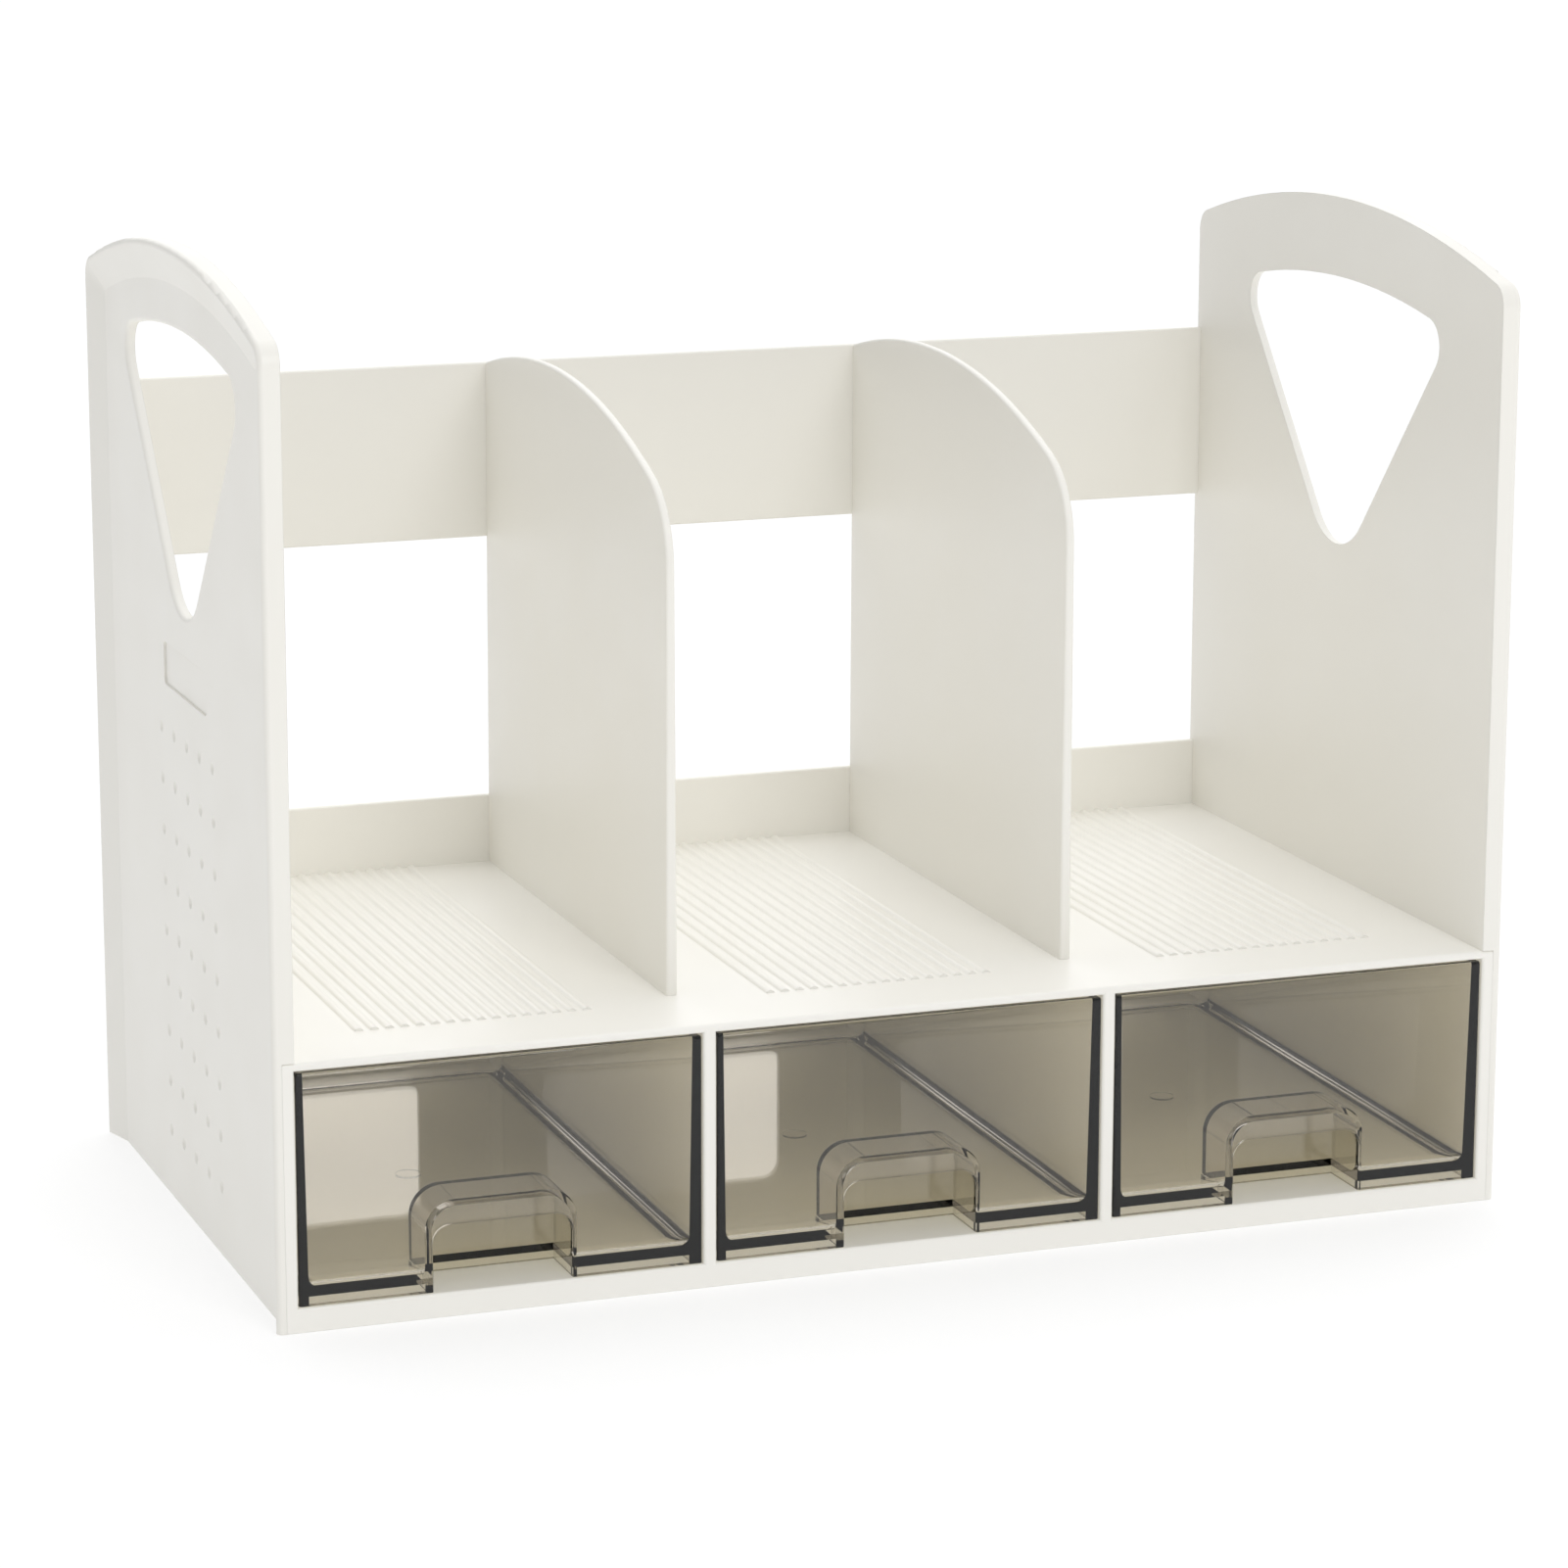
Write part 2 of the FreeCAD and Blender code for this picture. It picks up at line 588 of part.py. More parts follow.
def drawer_case():
    body = new_body("drawer_case")

    # Front frame, whose posts sit in the side panels' rims
    frame = sketch_on(body, "FrontFrame", "XZ_Plane", f"-{FRONT}")
    rectangle(frame, f"-{FRAME_X}", FRAME_X, "Sizes.foot_gap", "Sizes.shelf_top")
    bays(frame, INNER_X)
    pad(body, frame, "FrontFramePad", "Sizes.flange_depth", reverse=True)

    # Behind it the case is open at both ends, and the side panels close it
    section = sketch_on(body, "CaseSection", "XZ_Plane", f"-{FRAME_BACK}")
    outline(
        section,
        [
            (f"-{INNER_X}", BASE_UNDER),
            (INNER_X, BASE_UNDER),
            (INNER_X, "Sizes.base_top"),
            (SIDE_BAY_X, "Sizes.base_top"),
            (SIDE_BAY_X, SHELF_UNDER),
            (INNER_X, SHELF_UNDER),
            (INNER_X, "Sizes.shelf_top"),
            (f"-{INNER_X}", "Sizes.shelf_top"),
            (f"-{INNER_X}", SHELF_UNDER),
            (f"-{SIDE_BAY_X}", SHELF_UNDER),
            (f"-{SIDE_BAY_X}", "Sizes.base_top"),
            (f"-{INNER_X}", "Sizes.base_top"),
        ],
    )
    rectangle(section, f"-{MIDDLE_BAY_X}", MIDDLE_BAY_X, "Sizes.base_top", SHELF_UNDER)
    pad(body, section, "CaseSectionPad", f"{PLATE_FRONT} - {FRAME_BACK}", reverse=True)

    # Rounding round the mouth of each bay and along the shelf's upper front edge
    shelf_under = value(SHELF_UNDER)
    base_top = value("Sizes.base_top")
    rounded(
        body,
        "FrameRound",
        "Sizes.frame_round",
        lambda edge: lies(edge, y=value(FRONT)) and (
            lies(edge, z=value("Sizes.shelf_top"))
            or within(edge, "z", base_top, shelf_under)
        ),
    )

    # Stiffening ribs under the base, and a ring for each pad
    ribs = sketch_on(body, "UnderRibs", "XZ_Plane", f"-{FRAME_BACK}")
    half_rib = "Sizes.under_rib / 2"
    for across in ("0", BAY_PITCH, f"-{BAY_PITCH}", f"{BAY_PITCH} / 2", f"-{BAY_PITCH} / 2"):
        rectangle(
            ribs,
            f"{across} - {half_rib}",
            f"{across} + {half_rib}",
            "Sizes.under_rib_rise",
            BASE_UNDER,
        )
    pad(body, ribs, "UnderRibsPad", f"{PLATE_FRONT} - {FRAME_BACK}", reverse=True)
    cross = sketch_on(body, "CrossRibs", "YZ_Plane")
    for along in (f"{FRONT} + Sizes.tab_inset", "0", f"{BACK} - Sizes.tab_inset"):
        rectangle(
            cross,
            f"{along} - {half_rib}",
            f"{along} + {half_rib}",
            "Sizes.under_rib_rise",
            BASE_UNDER,
        )
    pad(body, cross, "CrossRibsPad", f"2 * {INNER_X}", both_ways=True)
    rings = sketch_on(body, "PadRings", "XY_Plane", "Sizes.foot_gap")
    seats = sketch_on(body, "PadSeats", "XY_Plane", "Sizes.foot_gap")
    for side in (-1, 1):
        for end in (-1, 1):
            across, along = pad_place(side, end)
            circle(rings, across, along, f"{PAD_SEAT} + 2 * Sizes.pad_seat_wall")
            circle(seats, across, along, PAD_SEAT)
    pad(body, rings, "PadRingsPad", f"{BASE_UNDER} - Sizes.foot_gap")
    pocket(body, seats, "PadSeatCut", "Sizes.pad_thickness - Sizes.foot_gap", reverse=True)

    # Rounded ribs along the middle of each file bay
    crest_radius = "((Sizes.rib_width / 2) ^ 2 + Sizes.rib_height ^ 2) / (2 * Sizes.rib_height)"
    rib_tip = f"({FRONT} + Sizes.rib_setback)"
    first_rib = f"(-{BAY_PITCH} - (Sizes.rib_count - 1) / 2 * Sizes.rib_pitch)"
    rib = sketch_on(body, "ShelfRib", "XZ_Plane", f"-{rib_tip}")
    outline(
        rib,
        [
            (f"{first_rib} - Sizes.rib_width / 2", "Sizes.shelf_top"),
            (f"{first_rib} + Sizes.rib_width / 2", "Sizes.shelf_top"),
        ],
        {1: crest_radius},
    )
    rib_pad = pad(body, rib, "ShelfRibPad", f"{PLATE_FRONT} - {rib_tip}", reverse=True)
    grid(
        body,
        "ShelfRibs",
        rib_pad,
        ("X_Axis", "Sizes.rib_pitch", "Sizes.rib_count", False),
        ("X_Axis", BAY_PITCH, "3", False),
    )

    # Slots that the dividers' feet plug into, over the partitions
    slots = sketch_on(body, "FootSlots", "XY_Plane", "Sizes.shelf_top")
    for side in (-1, 1):
        for along in FOOT_TAB_PLACES:
            half_across = "(Sizes.tab_thickness / 2 + Sizes.tab_gap)"
            half_along = "(Sizes.tab_length / 2 + Sizes.tab_gap)"
            across = f"{side} * {BAY_PITCH} / 2"
            rectangle(
                slots,
                f"{across} - {half_across}",
                f"{across} + {half_across}",
                f"{along} - {half_along}",
                f"{along} + {half_along}",
            )
    pocket(body, slots, "FootSlotCut", "Sizes.foot_tab_depth + Sizes.tab_gap")

    side_tabs(body, CASE_TABS)

    # Tabs behind the shelf and the base that go through the back panel
    tabs = sketch_on(body, "BackTabs", "XZ_Plane", f"-{PLATE_FRONT}")
    tab_rectangles(tabs, THROUGH_TABS)
    pad(body, tabs, "BackTabsPad", "Sizes.back_plate", reverse=True)
    return body


# The back panel and the back rail: flat plates between the side panels

def back_panel():
    body = new_body("back_panel")
    plate = sketch_on(body, "Plate", "XZ_Plane", f"-{PLATE_FRONT}")
    rectangle(plate, f"-{INNER_X}", INNER_X, "Sizes.foot_gap", CURB_TOP)
    pad(body, plate, "PlatePad", "Sizes.back_plate", reverse=True)
    windows = sketch_on(body, "Windows", "XZ_Plane", f"-{BACK}")
    for step in (-1, 0, 1):
        rounded_rectangle(
            windows,
            f"({step} * {BAY_PITCH} - Sizes.window_width / 2)",
            f"({step} * {BAY_PITCH} + Sizes.window_width / 2)",
            "(Sizes.base_top + Sizes.window_sill)",
            f"({SHELF_UNDER} - Sizes.window_head)",
            "Sizes.window_corner",
        )
    pocket(body, windows, "WindowCut", reverse=True)
    slots = sketch_on(body, "Slots", "XZ_Plane", f"-{BACK}")
    tab_rectangles(slots, THROUGH_TABS, "Sizes.tab_gap")
    pocket(body, slots, "SlotCut", reverse=True)
    rounded(
        body,
        "CurbRound",
        "Sizes.plate_round",
        lambda edge: lies(edge, z=value(CURB_TOP)) and edge.BoundBox.XLength > 1,
    )
    side_tabs(body, BACK_PANEL_TABS)
    return body


def back_rail():
    body = new_body("back_rail")
    plate = sketch_on(body, "Plate", "XZ_Plane", f"-{PLATE_FRONT}")
    rectangle(plate, f"-{INNER_X}", INNER_X, RAIL_LOW, RAIL_TOP)
    pad(body, plate, "PlatePad", "Sizes.back_plate", reverse=True)
    slots = sketch_on(body, "HookSlots", "XZ_Plane", f"-{BACK}")
    for side in (-1, 1):
        across = f"{side} * {BAY_PITCH} / 2"
        rectangle(
            slots,
            f"{across} - Sizes.tab_thickness / 2 - Sizes.tab_gap",
            f"{across} + Sizes.tab_thickness / 2 + Sizes.tab_gap",
            f"{RAIL_TAB_Z} - Sizes.tab_length / 2 - Sizes.tab_gap",
            f"{RAIL_TAB_Z} + Sizes.tab_length / 2 + Sizes.tab_gap",
        )
    pocket(body, slots, "HookSlotCut", reverse=True)
    rounded(
        body,
        "RailRound",
        "Sizes.plate_round",
        lambda edge: edge.BoundBox.XLength > value(INNER_X),
    )
    side_tabs(body, BACK_RAIL_TABS)
    return body


# The dividers: thin plates, drafted from foot to top, plugged into the shelf and the rail

def divider(label, side):
    body = new_body(label, f"{side} * {BAY_PITCH} / 2")
    front = f"({FRONT} + Sizes.divider_setback)"
    front_top = f"({RAIL_TOP} - Sizes.divider_fall)"
    shape = sketch_on(body, "Silhouette", "YZ_Plane")
    outline(
        shape,
        [
            (front, "Sizes.shelf_top"),
            (PLATE_FRONT, "Sizes.shelf_top"),
            (PLATE_FRONT, RAIL_TOP),
            (front, front_top),
        ],
        {2: "Sizes.divider_crown"},
    )
    pad(body, shape, "Plate", "Sizes.divider_foot", both_ways=True)
    rounded(
        body,
        "FrontCorner",
        "Sizes.divider_corner",
        lambda edge: lies(edge, y=value(front), z=value(front_top)),
    )

    # A wedge comes off each face, nothing at the foot and most at the top
    wedge_top = f"({RAIL_TOP} + Sizes.divider_corner)"
    half_foot = "(Sizes.divider_foot / 2)"
    half_top = "(Sizes.divider_top / 2)"
    wedges = sketch_on(body, "Draft", "XZ_Plane")
    outline(wedges, [(half_foot, "Sizes.shelf_top"), (half_foot, wedge_top), (half_top, wedge_top)])
    outline(
        wedges,
        [
            (f"-{half_foot}", "Sizes.shelf_top"),
            (f"-{half_top}", wedge_top),
            (f"-{half_foot}", wedge_top),
        ],
    )
    pocket(body, wedges, "DraftCut", both_ways=True)
    rounded(
        body,
        "EdgeRound",
        "Sizes.divider_round",
        lambda edge: edge.BoundBox.YLength + edge.BoundBox.ZLength > 1
        and not lies(edge, z=value("Sizes.shelf_top"))
        and not lies(edge, y=value(PLATE_FRONT)),
    )

    feet = sketch_on(body, "FootTabs", "YZ_Plane")
    for along in FOOT_TAB_PLACES:
        rectangle(
            feet,
            f"{along} - Sizes.tab_length / 2",
            f"{along} + Sizes.tab_length / 2",
            "Sizes.shelf_top - Sizes.foot_tab_depth",
            "Sizes.shelf_top",
        )
    rectangle(
        feet,
        PLATE_FRONT,
        BACK,
        f"{RAIL_TAB_Z} - Sizes.tab_length / 2",
        f"{RAIL_TAB_Z} + Sizes.tab_length / 2",
    )
    pad(body, feet, "TabPad", "Sizes.tab_thickness", both_ways=True)
    return body


# The drawers: one-piece clear mouldings with drafted walls, a floor above a skirt, and a finger pull

DRAWER_HALF = f"({BAY_WIDTH} / 2 - Sizes.drawer_gap)"
DRAWER_LOW = "(Sizes.base_top + Sizes.drawer_gap)"
DRAWER_TOP = f"({SHELF_UNDER} - Sizes.drawer_head_gap)"
DRAWER_FACE = f"({FRONT} + Sizes.drawer_setback)"
DRAWER_BACK = f"({PLATE_FRONT} - Sizes.drawer_back_room)"
DRAWER_FLOOR_UNDER = f"({DRAWER_LOW} + Sizes.drawer_skirt)"
DRAWER_FLOOR = f"({DRAWER_FLOOR_UNDER} + Sizes.drawer_floor)"


def half_rounded(sketch, half, low, high, corner):
    """An outline that is square at its lower end and has rounded corners at the other."""
    outline(
        sketch,
        [
            (f"-{half}", low),
            (half, low),
            (half, f"{high} - {corner}"),
            (f"{half} - {corner}", high),
            (f"-{half} + {corner}", high),
            (f"-{half}", f"{high} - {corner}"),
        ],
        {2: corner, 4: corner},
    )


def tray_outline(sketch, wall, front_wall, corner):
    """The drawer seen from above, moved in by its walls, with its two back corners rounded."""
    half = f"({DRAWER_HALF} - {wall})"
    half_rounded(sketch, half, f"({DRAWER_FACE} + {front_wall})", f"({DRAWER_BACK} - {wall})", corner)


def drafted_inwards(body, inside):
    """The inner walls leaned in, so that each is thicker at the floor than at the rim by the draft."""
    doc.recompute()
    rim = []
    walls = []
    for number, face in enumerate(inside.Shape.Faces, 1):
        box = face.BoundBox
        if box.ZMin > value(DRAWER_TOP) - NEAR:
            rim.append(f"Face{number}")
        elif box.ZMin > value(DRAWER_FLOOR) - NEAR and box.ZLength > NEAR:
            walls.append(f"Face{number}")
    draft = body.newObject("PartDesign::Draft", "InsideDraft")
    draft.Base = (inside, walls)
    draft.NeutralPlane = (inside, rim)
    draft.PullDirection = axis_of(body, "Z_Axis")
    draft.setExpression("Angle", f"atan(Sizes.drawer_draft / ({DRAWER_TOP} - {DRAWER_FLOOR}))")
    body.Tip = draft


def drawer(label, step):
    body = new_body(label, f"{step} * {BAY_PITCH}")
    wall_low = "(Sizes.drawer_wall + Sizes.drawer_draft)"
    front_low = "(Sizes.drawer_front + Sizes.drawer_draft)"

    block = sketch_on(body, "Outside", "XY_Plane", DRAWER_LOW)
    tray_outline(block, "0", "0", "Sizes.drawer_corner")
    pad(body, block, "Block", f"{DRAWER_TOP} - {DRAWER_LOW}")

    # Hollow with leaning walls and a cove round the floor
    mouth = sketch_on(body, "Inside", "XY_Plane", DRAWER_TOP)
    mouth_corner = "(Sizes.drawer_corner - Sizes.drawer_wall)"
    tray_outline(mouth, "Sizes.drawer_wall", "Sizes.drawer_front", mouth_corner)
    inside = pocket(body, mouth, "InsideCut", f"{DRAWER_TOP} - {DRAWER_FLOOR}")
    drafted_inwards(body, inside)
    rounded(
        body,
        "Cove",
        "Sizes.drawer_cove",
        lambda edge: lies(edge, z=value(DRAWER_FLOOR)),
    )

    # Hood over the finger pocket, standing on the drawer's floor
    pocket_half = "(Sizes.pull_width / 2)"
    hood_half = f"({pocket_half} + Sizes.pull_wall)"
    ceiling = f"({DRAWER_LOW} + Sizes.pull_headroom)"
    pocket_front = f"({DRAWER_FACE} + Sizes.drawer_front)"
    pocket_back = f"({pocket_front} + Sizes.pull_depth)"
    hood = sketch_on(body, "Hood", "XZ_Plane", f"-{pocket_front}")
    half_rounded(
        hood,
        hood_half,
        DRAWER_LOW,
        f"({ceiling} + Sizes.pull_wall)",
        "(Sizes.pull_corner + Sizes.pull_wall)",
    )
    pad(body, hood, "HoodPad", "Sizes.pull_depth + Sizes.pull_wall", reverse=True)
    rounded(
        body,
        "HoodRound",
        "Sizes.pull_wall / 2",
        lambda edge: lies(edge, y=value(f"{pocket_back} + Sizes.pull_wall"))
        and edge.BoundBox.ZMax > value(DRAWER_FLOOR) + NEAR,
    )

    # Hollow under the floor, leaving the skirt and the hood's walls
    skirt_half = f"({DRAWER_HALF} - {wall_low})"
    skirt_back = f"({DRAWER_BACK} - {wall_low})"
    skirt_front = f"({DRAWER_FACE} + {front_low})"
    skirt_corner = f"(Sizes.drawer_corner - {wall_low})"
    under = sketch_on(body, "UnderFloor", "XY_Plane", DRAWER_LOW)
    outline(
        under,
        [
            (f"-{skirt_half}", skirt_front),
            (f"-{hood_half}", skirt_front),
            (f"-{hood_half}", f"{pocket_back} + Sizes.pull_wall"),
            (hood_half, f"{pocket_back} + Sizes.pull_wall"),
            (hood_half, skirt_front),
            (skirt_half, skirt_front),
            (skirt_half, f"{skirt_back} - {skirt_corner}"),
            (f"{skirt_half} - {skirt_corner}", skirt_back),
            (f"-{skirt_half} + {skirt_corner}", skirt_back),
            (f"-{skirt_half}", f"{skirt_back} - {skirt_corner}"),
        ],
        {6: skirt_corner, 8: skirt_corner},
    )
    pocket(body, under, "UnderFloorCut", "Sizes.drawer_skirt", reverse=True)

    # Sprue gate, a low disc under the middle of the floor
    gate = sketch_on(body, "Gate", "XY_Plane", DRAWER_FLOOR_UNDER)
    circle(gate, "0", f"({DRAWER_FACE} + {DRAWER_BACK}) / 2", "Sizes.gate_width")
    pad(body, gate, "GatePad", "Sizes.gate_height", reverse=True)

    # Finger pocket from inside the front back to the hood's wall, then the opening in the front
    below = f"({DRAWER_LOW} - Sizes.pull_wall)"
    fingers = sketch_on(body, "FingerPocket", "XZ_Plane", f"-{pocket_front}")
    half_rounded(fingers, pocket_half, below, ceiling, "Sizes.pull_corner")
    pocket(body, fingers, "FingerPocketCut", "Sizes.pull_depth")
    opening = sketch_on(body, "FingerOpening", "XZ_Plane", f"-{DRAWER_FACE}")
    half_rounded(
        opening,
        pocket_half,
        below,
        f"({DRAWER_LOW} + Sizes.pull_opening)",
        "Sizes.pull_opening_corner",
    )
    pocket(body, opening, "FingerOpeningCut", "Sizes.drawer_front")

    # Rounded front, rim and finger lip
    drawer_top = value(DRAWER_TOP)
    face = value(DRAWER_FACE)
    rounded(
        body,
        "RimRound",
        "Sizes.drawer_rim_round",
        lambda edge: lies(edge, z=drawer_top) and not lies(edge, y=face),
    )
    half_drawer = value(DRAWER_HALF)
    rounded(
        body,
        "FrontRound",
        "Sizes.drawer_front_round",
        lambda edge: lies(edge, y=face)
        and (edge.BoundBox.ZMin > drawer_top - 1 or abs(abs(edge.CenterOfMass.x) - half_drawer) < 1),
    )
    rounded(
        body,
        "LipRound",
        "Sizes.pull_round",
        lambda edge: lies(edge, y=face) and abs(edge.CenterOfMass.x) < value(pocket_half) + NEAR
        and edge.BoundBox.ZMin > value(DRAWER_LOW) - NEAR
        and edge.BoundBox.ZMax < value(f"{DRAWER_LOW} + Sizes.pull_opening") + NEAR
        and not lies(edge, z=value(DRAWER_LOW)),
    )
    return body


# The anti-slip pads, which the object stands on

def anti_slip_pad(label, side, end):
    across, along = pad_place(side, end)
    disc = doc.addObject("Part::Cylinder", label)
    disc.Label = label
    disc.setExpression("Radius", "Sizes.pad_width / 2")
    disc.setExpression("Height", "Sizes.pad_thickness")
    disc.setExpression("Placement.Base.x", across)
    disc.setExpression("Placement.Base.y", along)
    return disc


pieces = [
    right_side_panel,
    left_side_panel,
    drawer_case(),
    back_panel(),
    back_rail(),
    divider("divider_left", -1),
    divider("divider_right", 1),
    drawer("drawer_left", -1),
    drawer("drawer_middle", 0),
    drawer("drawer_right", 1),
    anti_slip_pad("anti_slip_pad_front_left", -1, -1),
    anti_slip_pad("anti_slip_pad_front_right", 1, -1),
    anti_slip_pad("anti_slip_pad_back_left", -1, 1),
    anti_slip_pad("anti_slip_pad_back_right", 1, 1),
]


# Checks, then one file for each piece

CUTS = ("PartDesign::Pocket", "PartDesign::SubtractiveLoft", "PartDesign::SubtractiveCone")
doc.recompute()
for thing in doc.Objects:
    if "Invalid" in thing.State or "Error" in thing.State:
        raise ValueError(f"{thing.Label} could not be made: {thing.State}")
    if thing.TypeId in CUTS:
        if thing.Shape.Volume > thing.BaseFeature.Shape.Volume - NEAR:
            raise ValueError(f"{thing.Label} cuts nothing")
for piece in pieces:
    if piece.Shape.isNull() or not piece.Shape.isValid():
        raise ValueError(f"{piece.Label} has no valid shape")

os.makedirs("parts", exist_ok=True)
for piece in pieces:
    piece.Shape.exportStep(f"parts/{piece.Label}.step")
    print(piece.Label, len(piece.Shape.Solids), "solid", round(piece.Shape.Volume / 1000, 2), "cm3")
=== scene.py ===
# A desk organizer: upright file bays between two crowned side panels, over three smoke-clear drawers.
import math

import bpy
from mathutils import Matrix, Vector


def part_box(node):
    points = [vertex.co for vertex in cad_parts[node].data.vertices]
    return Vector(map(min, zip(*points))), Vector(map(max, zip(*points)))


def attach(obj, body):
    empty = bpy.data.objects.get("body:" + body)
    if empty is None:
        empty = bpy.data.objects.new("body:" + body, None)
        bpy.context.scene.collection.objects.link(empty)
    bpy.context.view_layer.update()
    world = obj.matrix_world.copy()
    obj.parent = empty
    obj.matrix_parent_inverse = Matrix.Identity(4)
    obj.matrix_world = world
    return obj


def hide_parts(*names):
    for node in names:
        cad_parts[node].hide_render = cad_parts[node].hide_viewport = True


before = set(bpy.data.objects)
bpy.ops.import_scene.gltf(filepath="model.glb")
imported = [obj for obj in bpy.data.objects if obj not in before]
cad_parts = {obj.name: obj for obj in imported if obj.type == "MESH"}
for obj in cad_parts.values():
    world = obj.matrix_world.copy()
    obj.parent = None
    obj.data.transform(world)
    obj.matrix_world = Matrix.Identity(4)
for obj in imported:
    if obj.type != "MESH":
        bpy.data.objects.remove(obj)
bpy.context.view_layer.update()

MM = 0.001


# The drawer case is one injection moulding in ivory ABS: base, two partitions, ribbed shelf and the frame
# round the drawer mouths. The side panels plug onto its tabs and the dividers into its slots, so the ivory
# plastic that they all share is mixed here.

def node(tree, kind, place, **inputs):
    """One shader node, with the numbers and colours of its sockets set by name."""
    made = tree.nodes.new(kind)
    made.location = place
    for socket, setting in inputs.items():
        made.inputs[socket.replace("_", " ")].default_value = setting
    return made


def new_material(name):
    """An empty node material and its output node."""
    material = bpy.data.materials.new(name)
    material.use_nodes = True
    material.node_tree.nodes.clear()
    output = node(material.node_tree, "ShaderNodeOutputMaterial", (900, 0))
    return material, material.node_tree, output


def noise(tree, place, size_mm, detail, roughness=0.5):
    """Noise whose lumps are about size_mm across, on the piece's own coordinates."""
    coordinates = node(tree, "ShaderNodeTexCoord", (place[0] - 220, place[1]))
    lumps = node(tree, "ShaderNodeTexNoise", place, Detail=detail, Roughness=roughness)
    lumps.inputs["Scale"].default_value = 1 / (size_mm * MM)
    tree.links.new(coordinates.outputs["Object"], lumps.inputs["Vector"])
    return lumps.outputs["Fac"]


def between(tree, place, factor, low, high):
    """A number from low to high as the noise goes over its usual range."""
    ranged = node(tree, "ShaderNodeMapRange", place, From_Min=0.3, From_Max=0.7, To_Min=low, To_Max=high)
    tree.links.new(factor, ranged.inputs["Value"])
    return ranged.outputs["Result"]


def blend_colours(tree, place, factor, first, second):
    """A colour that drifts from the first to the second with the factor."""
    mix = node(tree, "ShaderNodeMix", place)
    mix.data_type = "RGBA"
    ends = [socket for socket in mix.inputs if socket.type == "RGBA"]
    ends[0].default_value = (*first, 1)
    ends[1].default_value = (*second, 1)
    tree.links.new(factor, mix.inputs["Factor"])
    return next(socket for socket in mix.outputs if socket.type == "RGBA")


def ivory_plastic(name, pale, warm, gloss_rough, matt_rough, grain_mm, grain_depth_mm, edge_mm):
    """Moulded ivory ABS: a slow drift of tint from the melt's flow, a spark-eroded grain, soft edges."""
    material, tree, output = new_material(name)
    drift = noise(tree, (-700, 300), size_mm=90, detail=2)
    grain = noise(tree, (-700, -100), size_mm=grain_mm, detail=3, roughness=0.6)
    sheen = noise(tree, (-700, 100), size_mm=22, detail=3)
    waves = noise(tree, (-700, -350), size_mm=35, detail=1)
    tint = blend_colours(tree, (-300, 300), drift, pale, warm)
    rough = between(tree, (-300, 100), sheen, gloss_rough, matt_rough)
    rounded = node(tree, "ShaderNodeBevel", (-300, -450), Radius=edge_mm * MM)
    rounded.samples = 4
    sink = node(tree, "ShaderNodeBump", (0, -350), Strength=0.25, Distance=0.12 * MM)
    skin = node(tree, "ShaderNodeBump", (250, -250), Strength=0.5, Distance=grain_depth_mm * MM)
    plastic = node(tree, "ShaderNodeBsdfPrincipled", (550, 0), IOR=1.53)
    tree.links.new(rounded.outputs["Normal"], sink.inputs["Normal"])
    tree.links.new(waves, sink.inputs["Height"])
    tree.links.new(sink.outputs["Normal"], skin.inputs["Normal"])
    tree.links.new(grain, skin.inputs["Height"])
    tree.links.new(skin.outputs["Normal"], plastic.inputs["Normal"])
    tree.links.new(tint, plastic.inputs["Base Color"])
    tree.links.new(rough, plastic.inputs["Roughness"])
    tree.links.new(plastic.outputs["BSDF"], output.inputs["Surface"])
    return material


def finish(node_name, material):
    """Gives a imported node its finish."""
    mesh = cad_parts[node_name].data
    mesh.materials.clear()
    mesh.materials.append(material)


case_ivory = ivory_plastic(
    "ivory_case",
    pale=(0.945, 0.93, 0.88),
    warm=(0.935, 0.915, 0.855),
    gloss_rough=0.34,
    matt_rough=0.42,
    grain_mm=0.35,
    grain_depth_mm=0.012,
    edge_mm=0.35,
)
finish("drawer_case", case_ivory)


# The back panel and the back rail are flat satin ABS plates, tabbed into the side panels. The panel closes
# the case behind the drawers, with a window for each, and ends in a low curb. The rail ties the dividers.

plate_ivory = ivory_plastic(
    "ivory_plate",
    pale=(0.925, 0.91, 0.855),
    warm=(0.915, 0.893, 0.83),
    gloss_rough=0.38,
    matt_rough=0.48,
    grain_mm=0.3,
    grain_depth_mm=0.015,
    edge_mm=0.35,
)
for name in ("back_panel", "back_rail"):
    finish(name, plate_ivory)


# The two dividers are thin moulded ABS plates with a swept front edge, in the back plates' finish. Each is
# plugged into the shelf below and hooked into the rail behind.

for name in ("divider_left", "divider_right"):
    finish(name, plate_ivory)


# The side panels are dished ABS mouldings with a crowned top, a fan-shaped hand hole, a bare label recess
# and blind dimples. They plug onto the case from outside, and their skin is grainier, to hide finger marks.

panel_ivory = ivory_plastic(
    "ivory_panel",
    pale=(0.925, 0.91, 0.855),
    warm=(0.915, 0.893, 0.83),
    gloss_rough=0.36,
    matt_rough=0.46,
    grain_mm=0.4,
    grain_depth_mm=0.02,
    edge_mm=0.4,
)
for name in ("left_side_panel", "right_side_panel"):
    finish(name, panel_ivory)


# The drawers are one-piece mouldings in smoke-clear polystyrene, polished inside and out, and slide on the
# case's base. The tint is in the plastic: a wall looked through is pale, and one looked along nearly black.

